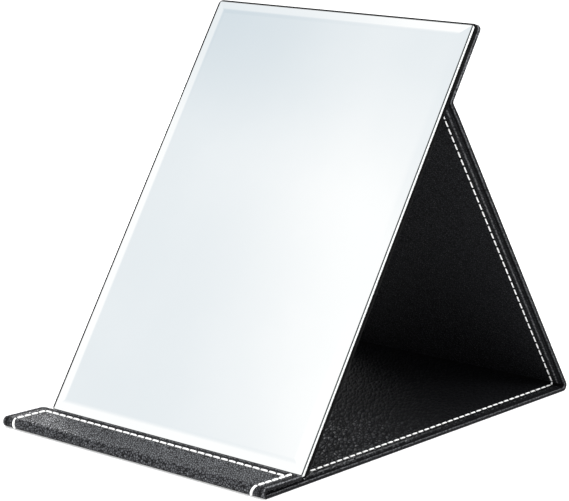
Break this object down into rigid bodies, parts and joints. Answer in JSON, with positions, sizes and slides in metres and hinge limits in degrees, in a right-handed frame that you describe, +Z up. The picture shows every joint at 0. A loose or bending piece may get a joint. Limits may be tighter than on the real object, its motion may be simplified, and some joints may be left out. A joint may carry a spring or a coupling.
{
  "type": "folding makeup mirror",
  "caption": "Bevelled mirror on a leather-covered folder that folds into a triangular stand, with a folded lip that stops the mirror's foot.",
  "frame": {"origin": "middle of the standing mirror's footprint, on the table", "axes": "+Z up, +X to the right as seen by the user, -Y towards the user"},
  "size_m": [0.2, 0.2852, 0.2339],
  "materials": {
    "outer_leather": "black grained leather, soft sheen",
    "lining_leather": "black fine-grained lining, satin",
    "back_wrap": "thin black leather, satin",
    "seam_thread": "white twisted thread",
    "stiff_card": "grey board",
    "mirror_glass": "bevelled silvered glass, polished",
    "mounting_tape": "foam tape, matte",
    "magnet": "nickel-plated",
    "keeper_steel": "plain steel"
  },
  "bodies": {
    "base": {"base_outer_skin": "outer_leather", "base_board": "stiff_card", "base_inner_lining": "lining_leather", "base_seam_thread": "seam_thread", "rear_fold_leather": "outer_leather", "rear_fold_lining": "lining_leather", "lip_fold_leather": "outer_leather", "lip_fold_lining": "lining_leather"},
    "lip": {"lip_outer_skin": "outer_leather", "lip_board": "stiff_card", "lip_inner_lining": "lining_leather", "lip_seam_thread": "seam_thread", "lip_magnets": "magnet"},
    "strut": {"strut_outer_skin": "outer_leather", "strut_board": "stiff_card", "strut_inner_lining": "lining_leather", "strut_seam_thread": "seam_thread", "top_hinge_leather": "outer_leather", "top_hinge_lining": "lining_leather"},
    "mirror": {"crown_outer_skin": "outer_leather", "crown_board": "stiff_card", "crown_inner_lining": "lining_leather", "crown_seam_thread": "seam_thread", "crown_keeper_plates": "keeper_steel", "mirror_board_wrap": "back_wrap", "mirror_back_board": "stiff_card", "mirror_mounting_tape": "mounting_tape", "mirror_glass": "mirror_glass"}
  },
  "joints": [
    {"name": "rear_fold", "type": "hinge", "parent": "base", "child": "strut", "pos_m": [0, 0.13925, 0.0034], "axis": [-1, 0, 0], "range_deg": [0, 123.55], "deforming": ["rear_fold_leather", "rear_fold_lining"]},
    {"name": "top_hinge", "type": "hinge", "parent": "strut", "child": "mirror", "pos_m": [0, 0.01846, 0.1921], "axis": [1, 0, 0], "range_deg": [0, 66.03], "deforming": ["top_hinge_leather", "top_hinge_lining"]},
    {"name": "lip_fold", "type": "hinge", "parent": "base", "child": "lip", "pos_m": [0, -0.13955, 0.0031], "axis": [1, 0, 0], "range_deg": [0, 179.5], "deforming": ["lip_fold_leather", "lip_fold_lining"]}
  ],
  "couplings": [
    {"joint": "rear_fold", "follows": "top_hinge", "ratio": 1.8673}
  ]
}
